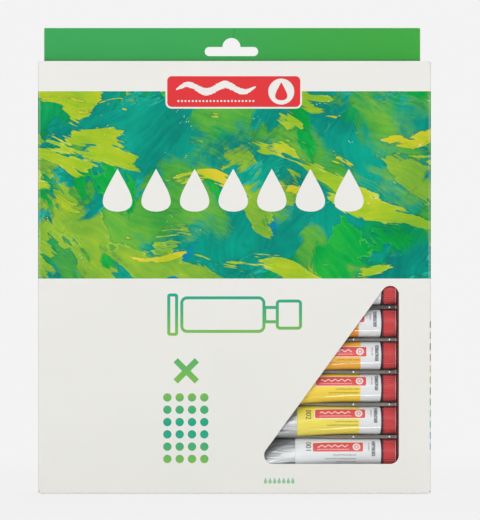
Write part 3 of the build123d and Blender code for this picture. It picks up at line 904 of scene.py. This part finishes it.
def clear_sheet(s, tint, tint_share, slant_index, waviness, roughness, dull=0.0):
    """A thin clear sheet: what is behind it shows through, and it mirrors at a slant where not dull."""
    wave = s.noise(s.place(), waviness, 2.0, 0.5)
    s.set(base_color=tint, roughness=roughness, normal=s.bump(wave, 0.25, 0.5))
    see_through = s.new("BsdfTransparent", color=(0.99, 0.992, 0.994, 1.0))
    mirror = s.new("Fresnel", ior=slant_index)
    far_face = s.new("NewGeometry").outputs["Backfacing"]
    slanted = s.mul(mirror.outputs[0], s.sub(1.0, far_face), s.sub(1.0, dull))
    s.lay_over(s.add(tint_share, slanted), see_through, s.surface)
    return s.material


def film_material():
    """Very clear film with hardly a mirror in it."""
    tint = (0.9, 0.92, 0.95, 1.0)
    return clear_sheet(Shader("clear_film"), tint, 0.003, slant_index=1.2, waviness=0.05, roughness=0.06)


def tray_material():
    """Clear sheet with painted shade: grey on the ridges, darker towards the upper rows and on each ridge's
    upper side, and dark red past the ends of the caps; with a painted highlight line near the caps' ends
    and painted glints on the nubs.
    """
    s = Shader("clear_tray")
    x, y, z = s.place()
    along = s.abs(x)
    cell = s.centred(s.sub(z, FIRST_ROW_Z), ROW_PITCH)
    narrowing = s.mul(s.step(along, FLARE_START_X - 2.0, FLARE_FULL_X + 14.0), 0.75)
    front = s.step(y, *RIDGE_FRONT)
    ridge = s.both(front, s.step(s.add(s.abs(cell), narrowing), 1.2, 1.0))
    streaks = s.noise(((along, 0.05), 0.0, (z, 1.2)), 1.0, 3.0, 0.6)
    # Painted shade: the grey on the ridges darkens from the lower rows up to the top rows
    pale = s.mix(s.step(z, 78.0, 112.0), rgb("969188"), rgb("4E464A"))
    # Painted shade on each ridge's upper side, with random darker streaks
    shaded = s.add(s.mul(s.step(cell, -0.5, 0.7), 0.35), s.mul(s.step(streaks, 0.42, 0.65), 0.3))
    tint = s.mix(shaded, pale, rgb("3C3836"))
    # Painted shade past the caps' ends: dark red like the shaded caps, with the mirror turned off there
    shade_past_caps = s.step(along, PAST_CAPS_X - 0.05, PAST_CAPS_X + 0.05)
    # Painted highlight: a pale pink line near the caps' ends, on the ridges
    rim = s.within(along, *CAP_HIGHLIGHT_SPAN, 0.05)
    tint = s.mix(shade_past_caps, tint, rgb("6A1E20"))
    tint = s.mix(rim, tint, rgb("DCC4C6"))
    # Shares of tint: painted grey shade on the ridges, painted dark red shade past the caps, and the
    # painted highlight line
    share = s.either(s.mul(ridge, 0.68), s.mul(shade_past_caps, 0.92), s.mul(rim, ridge, 0.9))
    s.set(specular_ior_level=s.sub(0.5, s.mul(shade_past_caps, 0.42)))
    # Painted highlights: white glints on the nubs of the ridges
    for place in NUB_PLACES:
        away = s.length(s.sub(along, place), cell)
        glint = s.both(s.step(away, 0.6, 0.4), front)
        tint = s.mix(glint, tint, rgb("FFFFFF"))
        share = s.either(share, glint)
    tint_share = s.add(share, 0.03)
    return clear_sheet(s, tint, tint_share, slant_index=1.25, waviness=0.08, roughness=0.2, dull=shade_past_caps)


# ---------------------------------------------------------------- meshes


def new_piece(name, mesh, material, location=(0, 0, 0)):
    """An object of this mesh, linked to the scene; location is in metres."""
    piece = bpy.data.objects.new(name, mesh)
    piece.location = location
    bpy.context.scene.collection.objects.link(piece)
    mesh.materials.append(material)
    return piece


def grid_mesh(name, rows, closed_round=False, caps=False):
    """A mesh through rows of points in millimetres; each row may close on itself."""
    width = len(rows[0])
    vertices = [tuple(c * MM for c in point) for row in rows for point in row]
    faces = []
    steps = width if closed_round else width - 1
    for i in range(len(rows) - 1):
        this, above = i * width, (i + 1) * width
        for j in range(steps):
            k = (j + 1) % width
            faces.append((this + j, this + k, above + k, above + j))
    if caps:
        faces.append(tuple(range(width - 1, -1, -1)))
        last = (len(rows) - 1) * width
        faces.append(tuple(last + j for j in range(width)))
    mesh = bpy.data.meshes.new(name)
    mesh.from_pydata(vertices, [], faces)
    mesh.validate()
    mesh.polygons.foreach_set("use_smooth", [True] * len(mesh.polygons))
    return mesh


def keep_edges(mesh):
    """Face every side outward, and shade across gentle bends only."""
    sharp_angle = 0.6
    bm = bmesh.new()
    bm.from_mesh(mesh)
    bmesh.ops.recalc_face_normals(bm, faces=bm.faces)
    for edge in bm.edges:
        if edge.calc_face_angle(0.0) > sharp_angle:
            edge.smooth = False
    bm.to_mesh(mesh)
    bm.free()


def crease_profile(pivot, first, second, reach):
    """Points along a folded strip: a straight run, a quarter turn about pivot, a straight run.

    first and second are unit directions from pivot to the two outer faces.
    """
    radius = BOARD / 2 + SKIN
    turn_steps = 8
    turn = []
    for step in range(turn_steps + 1):
        angle = math.pi / 2 * step / turn_steps
        across, up = radius * math.cos(angle), radius * math.sin(angle)
        turn.append([pivot[i] + first[i] * across + second[i] * up for i in (0, 1)])
    run_in = [[turn[0][i] - second[i] * reach * share for i in (0, 1)] for share in (1, 0.5)]
    run_out = [[turn[-1][i] - first[i] * reach * share for i in (0, 1)] for share in (0.5, 1)]
    return run_in + turn + run_out


def crease_strip(name, to_point, ends, pivot, first, second, reach, material):
    """A thin strip of the board's face that runs round a fold between two panels."""
    line = crease_profile(pivot, first, second, reach)
    segments = 24
    rows = []
    for i in range(segments + 1):
        along = ends[0] + (ends[1] - ends[0]) * i / segments
        rows.append([to_point(along, a, b) for a, b in line])
    piece = new_piece(name, grid_mesh(name, rows), material)
    thicken = piece.modifiers.new("thickness", "SOLIDIFY")
    thicken.thickness = SKIN * MM
    thicken.offset = -1.0
    apply_modifiers(piece)
    return piece


def evaluated_mesh(piece):
    """A new mesh of what an object's text or modifiers make."""
    bpy.context.view_layer.update()
    graph = bpy.context.evaluated_depsgraph_get()
    return bpy.data.meshes.new_from_object(piece.evaluated_get(graph))


def apply_modifiers(piece):
    """Keep the mesh that the piece's modifiers make, and drop the modifiers."""
    mesh = evaluated_mesh(piece)
    piece.modifiers.clear()
    old = piece.data
    piece.data = mesh
    bpy.data.meshes.remove(old)
    piece.data.name = piece.name
    keep_edges(mesh)


def corner_board(name, side_sign, level, direction, material):
    """The wrap's own board at a corner of the front: it rounds off the end of a closing panel's fold."""
    proud = 0.01
    side_x = LID_HIGH[0] + 0.02
    centre_x, centre_y = HALF_WIDTH - FOLD_RADIUS, FOLD_RADIUS - HALF_DEPTH
    outer_radius = FOLD_RADIUS + proud
    inner_radius = outer_radius - BOARD
    outer = [(side_x, -HALF_DEPTH - proud)]
    inner = [(side_x, BOARD - HALF_DEPTH)]
    turn_steps, levels = 8, 6
    for step in range(turn_steps + 1):
        turn = math.pi / 2 * step / turn_steps
        across, deep = math.sin(turn), -math.cos(turn)
        outer.append((centre_x + outer_radius * across, centre_y + outer_radius * deep))
        inner.append((centre_x + inner_radius * across, centre_y + inner_radius * deep))
    foot = level - direction * CORNER_ROUND
    rows = []
    for k in range(levels + 1):
        row = []
        for x, y in outer + inner[::-1]:
            out = max(x - LID_HIGH[0], 0.0)
            rise = math.sqrt(max(CORNER_ROUND**2 - out * out, 0.0))
            row.append((side_sign * x, y, foot + direction * rise * k / levels))
        rows.append(row)
    mesh = grid_mesh(name, rows, closed_round=True, caps=True)
    keep_edges(mesh)
    return new_piece(name, mesh, material)


def sleeve_half_sizes(along):
    """Half width and half thickness of the sleeve at a distance from the middle."""
    if along >= TUBE_ROUND_X:
        return TUBE_RADIUS, TUBE_RADIUS
    share = (TUBE_ROUND_X - along) / (TUBE_ROUND_X - TAIL_FOLD_X)
    share = min(share, 1.0)
    thickness_share = max(math.cos(share * math.pi / 2), 0.0) ** 0.8
    half_thickness = TAIL_HALF_THICKNESS + (TUBE_RADIUS - TAIL_HALF_THICKNESS) * thickness_share
    widening = (TUBE_RADIUS - half_thickness) / (TUBE_RADIUS - TAIL_HALF_THICKNESS)
    return TUBE_RADIUS + (TAIL_HALF_WIDTH - TUBE_RADIUS) * widening, half_thickness


def flare(along):
    """How far the pressed sleeve spreads up and down between its round part and its tail."""
    share = min(max((FLARE_START_X - along) / (FLARE_START_X - FLARE_FULL_X), 0.0), 1.0)
    return 1.0 + FLARE_SHARE * share * share * (3.0 - 2.0 * share)


def ring_point(along, wide, thick, sign):
    """A point of a section whose width leans at the tail's tilt; the left column is turned round."""
    y = wide * math.cos(TAIL_TILT) - thick * math.sin(TAIL_TILT)
    z = wide * math.sin(TAIL_TILT) + thick * math.cos(TAIL_TILT)
    return (sign * along, sign * y, z * flare(along))


def ring_turns():
    """Angles of the points round one ring."""
    return [math.tau * j / ROUND_STEPS for j in range(ROUND_STEPS)]


def sleeve_ring(along, sign, seed, contents):
    """Points round the sleeve at one distance, with dents and tail wrinkles pressed in."""
    half_width, half_thickness = sleeve_half_sizes(along)
    flat = (TUBE_RADIUS - half_thickness) / (TUBE_RADIUS - TAIL_HALF_THICKNESS)
    softness = min(max((TUBE_SHOULDER_X - along) / SOFT_LENGTH, 0.0), 1.0)
    dent_depth = contents.dent_depth / MM * softness
    wrinkle_depth = contents.wrinkle_depth / MM * flat * (1.0 - flat) * 4.0
    lengthwise, crosswise = DENT_STRETCH
    ring = []
    for turn in ring_turns():
        across, up = math.cos(turn), math.sin(turn)
        wide, thick = half_width * across, half_thickness * up
        spot = Vector((along * lengthwise, across * crosswise, up * crosswise + seed * 3.7))
        dent = (smooth_noise.noise(spot) - DENT_LEVEL) * dent_depth
        fan = math.sin(turn * WRINKLE_FOLDS + seed + 2.0 * smooth_noise.noise(spot * 2.0))
        wrinkle = (fan * abs(up) - 0.5) * wrinkle_depth
        reach = math.hypot(wide, thick)
        scale = (reach + min(dent, 0.0) + wrinkle * 0.5) / reach
        ring.append(ring_point(along, wide * scale, thick * scale, sign))
    return ring


def turned_ring(along, radius, sign):
    """Points round the shoulder and neck."""
    return [
        ring_point(along, radius * math.cos(turn), radius * math.sin(turn), sign)
        for turn in ring_turns()
    ]


def tail_fold_ring(along, half_thickness, sign):
    """A flat section of the folded end, with square corners."""
    ring = []
    for turn in ring_turns():
        squared = math.copysign(min(abs(math.sin(turn)) * 3.0, 1.0), math.sin(turn))
        ring.append(ring_point(along, TAIL_HALF_WIDTH * math.cos(turn), half_thickness * squared, sign))
    return ring


def neck_profile():
    """Distance and radius from the shoulder bead to the mouth, with three thread rings."""
    profile = [(LACQUER_END_X, TUBE_RADIUS), (82.45, 7.95), (82.65, 7.7), (82.78, 6.8), (84.3, NECK_RADIUS)]
    for ring in range(3):
        middle = 84.0 + THREAD_PITCH * (ring + 0.8)
        profile += [(middle - 0.35, NECK_RADIUS), (middle - 0.08, THREAD_RADIUS)]
        profile += [(middle + 0.08, THREAD_RADIUS), (middle + 0.35, NECK_RADIUS)]
    mouth_bevel = 0.3
    profile += [(TUBE_NECK_X - mouth_bevel, NECK_RADIUS), (TUBE_NECK_X, NECK_RADIUS - mouth_bevel)]
    return profile


def tube_mesh(name, sign, seed, contents):
    """A paint tube about its own axis: folded end, flattened and round sleeve, shoulder, neck."""
    # Distance from the tail's end and half thickness, over its two folds
    full = TAIL_HALF_THICKNESS
    folds = ((0.0, 0.45), (0.25, full), (1.9, full), (2.15, 0.42), (2.4, full), (4.5, full), (4.8, 0.45))
    rings = [tail_fold_ring(TUBE_TAIL_X + offset, half, sign) for offset, half in folds]
    stations = 56
    for i in range(stations + 1):
        along = TAIL_FOLD_X + (TUBE_SHOULDER_X - TAIL_FOLD_X) * i / stations
        rings.append(sleeve_ring(along, sign, seed, contents))
    for along, radius in neck_profile():
        rings.append(turned_ring(along, radius, sign))
    return grid_mesh(name, rings, closed_round=True, caps=True)


def tube_number(side, row, material):
    """A small plain number for the band, bent round like the sleeve."""
    order = row + 1 if side == "right" else ROWS + row + 1
    name = f"number_{side}_{row + 1:02d}"
    curve = bpy.data.curves.new(name, "FONT")
    curve.body = f"{order:03d}"
    curve.size = NUMBER_SIZE * MM
    curve.align_x = "CENTER"
    curve.align_y = "CENTER"
    text = bpy.data.objects.new(name, curve)
    bpy.context.scene.collection.objects.link(text)
    mesh = evaluated_mesh(text)
    bpy.data.objects.remove(text)
    bpy.data.curves.remove(curve)
    bm = bmesh.new()
    bm.from_mesh(mesh)
    bmesh.ops.subdivide_edges(bm, edges=bm.edges, cuts=2, use_grid_fill=False)
    bmesh.ops.triangulate(bm, faces=bm.faces)
    radius = TUBE_RADIUS + SKIN
    sign = SIDES[side]
    for vertex in bm.verts:
        turn = NUMBER_ROLL - sign * vertex.co.x / MM / radius
        along = sign * (NUMBER_X * MM + vertex.co.y)
        vertex.co = (along, -radius * MM * math.cos(turn), radius * MM * math.sin(turn))
    bm.to_mesh(mesh)
    bm.free()
    mesh.name = name
    return new_piece(name, mesh, material, in_metres(0, TUBE_AXIS_Y, row_height(row)))


def lay_on(piece, base, lift):
    """Press a thin print straight back onto the piece behind it, a little proud of it."""
    wrap = piece.modifiers.new("wrap", "SHRINKWRAP")
    wrap.target = base
    wrap.wrap_method = "PROJECT"
    wrap.use_project_y = True
    wrap.use_negative_direction = True
    wrap.wrap_mode = "ABOVE_SURFACE"
    wrap.offset = lift * MM
    apply_modifiers(piece)


# ---------------------------------------------------------------- operators


def set_material(node_name, material):
    """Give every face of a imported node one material."""
    node = frame["nodes"][node_name]
    for slot in node.material_slots:
        slot.material = material
    if not node.material_slots:
        raise RuntimeError(f"{node_name} has no material slot")


class DressCarton(bpy.types.Operator):
    """Print and finish the carton's wrap and every panel folded from it"""

    bl_idname = "paint_box.dress_carton"
    bl_label = "Carton"

    def execute(self, context):
        carton = context.scene.paint_box_carton
        plain_panels = {"lid_panel": ("Z", LID_HIGH[2]), "lid_tuck": ("Y", TUCK_HIGH[1])}
        for name in ("dust_flap_left", "dust_flap_right"):
            plain_panels[name] = ("Z", FLAP_HIGH[2])
        for name in ("outer_panel", "inner_panel", "flap_left", "flap_right"):
            plain_panels[f"bottom_{name}"] = ("Z", BOTTOM_FACE_Z)
        set_material("carton_wrap", carton_material(carton))
        set_material("header_front_layer", header_material(carton))
        for name, (axis, outside) in plain_panels.items():
            folds_at_front = name in ("lid_panel", "bottom_outer_panel")
            material = board_material(f"board_{name}", carton, axis, outside, folds_at_front)
            set_material(name, material)
        return {"FINISHED"}


class MakeCreases(bpy.types.Operator):
    """Run the board's face round each moving fold, so that the panels stay joined"""

    bl_idname = "paint_box.make_creases"
    bl_label = "Creases"

    def execute(self, context):
        carton = context.scene.paint_box_carton
        s = Shader("crease_board")
        place = s.place()
        board_finish(s, *place, tuple(carton.board), 1.0)
        reach = carton.crease_reach / MM
        joints = {joint["name"]: joint for joint in frame["joints"]}

        def pivot(name):
            return [v / MM for v in joints[name]["pos_m"]]

        lid = pivot("lid_fold")
        tuck = pivot("tuck_fold")
        front = crease_strip(
            "lid_crease", lambda x, y, z: (x, y, z), (LID_LOW[0], LID_HIGH[0]),
            (lid[1], lid[2]), (-1, 0), (0, 1), reach, s.material,
        )
        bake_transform(front)
        back = crease_strip(
            "tuck_crease", lambda x, y, z: (x, y, z), (TUCK_LOW[0], TUCK_HIGH[0]),
            (tuck[1], tuck[2]), (0, 1), (1, 0), reach, s.material,
        )
        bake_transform(back)
        for side, sign in SIDES.items():
            fold = pivot(f"flap_{side}_fold")
            ends = (FLAP_LOW[1] + FLAP_MARGIN, FLAP_HIGH[1] - FLAP_MARGIN)
            strip = crease_strip(
                f"flap_crease_{side}", lambda y, x, z: (x, y, z), ends,
                (fold[0], fold[2]), (sign, 0), (0, 1), reach, s.material,
            )
            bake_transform(strip)
            for edge, level, direction in (("top", BOX_TOP - SKIN, 1), ("bottom", SKIN, -1)):
                corner = corner_board(f"corner_{edge}_{side}", sign, level, direction, s.material)
                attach(corner, "box")
        return {"FINISHED"}


class MakeTubes(bpy.types.Operator):
    """Make the 24 paint tubes with dented sleeves, printed bands and plain numbers"""

    bl_idname = "paint_box.make_tubes"
    bl_label = "Tubes"

    def execute(self, context):
        contents = context.scene.paint_box_contents
        chance = random.Random(24)
        ink = Shader("number_ink")
        grain = ink.noise(ink.place(), 3.0, 2.0)
        ink.set(base_color=ink.ramp(grain, [(0.3, rgb("2A2A2E")), (0.7, rgb("3E3E44"))]))
        ink.set(roughness=0.45)
        for side, sign in SIDES.items():
            for row in range(ROWS):
                jitter, roll = chance.uniform(-0.8, 0.8), chance.uniform(-0.8, 1.4)
                if side == "right" and row < len(PRINT_PLACES):
                    jitter, roll = PRINT_PLACES[row]
                seed = chance.uniform(0.0, 40.0)
                name = f"tube_{side}_{row + 1:02d}"
                mesh = tube_mesh(f"{name}_sleeve", sign, seed, contents)
                material = tube_material(contents, side, row, jitter, roll)
                place = in_metres(0, TUBE_AXIS_Y, row_height(row))
                tube = new_piece(f"{name}_sleeve", mesh, material, place)
                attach(tube, "box")
                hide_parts(name)
                number = tube_number(side, row, ink.material)
                lay_on(number, tube, NUMBER_PROUD)
                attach(number, "box")
        return {"FINISHED"}


class DressCaps(bpy.types.Operator):
    """Give every ribbed cap its moulded red plastic"""

    bl_idname = "paint_box.dress_caps"
    bl_label = "Caps"

    def execute(self, context):
        material = cap_material(context.scene.paint_box_contents)
        for side in SIDES:
            for row in range(ROWS):
                set_material(f"cap_{side}_{row + 1:02d}", material)
        return {"FINISHED"}


class DressClearSheets(bpy.types.Operator):
    """Make the tray and the window film clear"""

    bl_idname = "paint_box.dress_clear_sheets"
    bl_label = "Tray and film"

    def execute(self, context):
        set_material("tray", tray_material())
        set_material("window_film", film_material())
        return {"FINISHED"}


# Each lamp's name, place, width and height in metres, and power in watts
LAMPS = (
    ("key_lamp", (-1.1, -2.1, 0.95), 1.2, 1.2, 16.5),
    ("fill_lamp", (1.5, -1.9, 0.2), 1.2, 1.2, 13.5),
    ("strip_lamp", (0.0, -2.2, 0.95), 1.4, 0.24, 8.0),
    ("top_lamp", (0.2, 0.4, 2.2), 1.0, 1.0, 8.0),
    ("back_lamp", (0.6, 2.2, 1.0), 1.6, 1.6, 23.0),
)
WORLD_STRENGTH = 0.42
FLOOR_HALF_SIZE = 30.0


class MakeStage(bpy.types.Operator):
    """Lay the floor, hang the lamps and set the camera"""

    bl_idname = "paint_box.make_stage"
    bl_label = "Stage"

    def execute(self, context):
        stage = context.scene.paint_box_stage
        self.floor(stage)
        self.world(stage)
        for settings in LAMPS:
            self.lamp(*settings)
        self.camera(stage)
        context.scene.view_settings.view_transform = "Standard"
        return {"FINISHED"}

    def floor(self, stage):
        mesh = bpy.data.meshes.new("floor")
        size = FLOOR_HALF_SIZE
        corners = [(-size, -size, 0), (size, -size, 0), (size, size, 0), (-size, size, 0)]
        mesh.from_pydata(corners, [], [(0, 1, 2, 3)])
        s = Shader("pale_floor")
        s.set(base_color=tuple(stage.backdrop), roughness=0.9, specular_ior_level=0.0)
        glow = s.new("Emission", color=tuple(stage.backdrop))
        x, y, z = s.place()
        even = s.add(0.88, s.mul(s.step(s.length(x, y), 150.0, 500.0), 0.12))
        s.lay_over(s.mul(s.seen_ray(), even), s.surface, glow)
        new_piece("floor", mesh, s.material)

    def world(self, stage):
        world = bpy.data.worlds.new("pale_world")
        bpy.context.scene.world = world
        tree = NodeTree(world, "OutputWorld")
        lit = tree.new("Background", color=(1.0, 1.0, 1.0, 1.0), strength=WORLD_STRENGTH)
        shown = tree.new("Background", color=tuple(stage.backdrop))
        tree.lay_over(tree.seen_ray(), lit, shown)

    def lamp(self, name, place, width, height, power):
        light = bpy.data.lights.new(name, "AREA")
        light.shape = "RECTANGLE"
        light.size = width
        light.size_y = height
        light.energy = power
        lamp = bpy.data.objects.new(name, light)
        lamp.location = place
        target = Vector((0, 0, 0.12))
        lamp.rotation_euler = (target - Vector(place)).to_track_quat("-Z", "Y").to_euler()
        lamp.visible_camera = False
        bpy.context.scene.collection.objects.link(lamp)

    def camera(self, stage):
        data = bpy.data.cameras.new("camera")
        data.sensor_width = 36.0
        data.lens = data.sensor_width * stage.distance / stage.view_height
        data.clip_end = 100.0
        camera = bpy.data.objects.new("camera", data)
        aim = Vector((stage.aim_x, -HALF_DEPTH * MM, stage.aim_z))
        back = Vector((0, -math.cos(stage.elevation), math.sin(stage.elevation)))
        camera.location = aim + back * stage.distance
        camera.rotation_euler = (-back).to_track_quat("-Z", "Y").to_euler()
        bpy.context.scene.collection.objects.link(camera)
        bpy.context.scene.camera = camera


class PaintBoxPanel(bpy.types.Panel):
    """The paint box's pieces and the stage"""

    bl_idname = "VIEW3D_PT_paint_box"
    bl_label = "Paint Box"
    bl_space_type = "VIEW_3D"
    bl_region_type = "UI"
    bl_category = "Paint Box"

    def draw(self, context):
        layout = self.layout
        for operator in OPERATORS:
            layout.operator(operator.bl_idname)
        for group in GROUPS:
            settings = getattr(context.scene, group)
            box = layout.box()
            for name in settings.bl_rna.properties.keys():
                if name not in ("rna_type", "name"):
                    box.prop(settings, name)


OPERATORS = (DressCarton, MakeCreases, MakeTubes, DressCaps, DressClearSheets, MakeStage)
GROUPS = {
    "paint_box_carton": PaintBoxCarton,
    "paint_box_contents": PaintBoxContents,
    "paint_box_stage": PaintBoxStage,
}


def register():
    for group in GROUPS.values():
        bpy.utils.register_class(group)
    for name, group in GROUPS.items():
        setattr(bpy.types.Scene, name, bpy.props.PointerProperty(type=group))
    for operator in OPERATORS:
        bpy.utils.register_class(operator)
    bpy.utils.register_class(PaintBoxPanel)


def unregister():
    bpy.utils.unregister_class(PaintBoxPanel)
    for operator in reversed(OPERATORS):
        bpy.utils.unregister_class(operator)
    for name, group in GROUPS.items():
        delattr(bpy.types.Scene, name)
        bpy.utils.unregister_class(group)


def main():
    register()
    bpy.ops.paint_box.dress_carton()
    bpy.ops.paint_box.make_creases()
    bpy.ops.paint_box.make_tubes()
    bpy.ops.paint_box.dress_caps()
    bpy.ops.paint_box.dress_clear_sheets()
    bpy.ops.paint_box.make_stage()


if __name__ == "__main__":
    main()
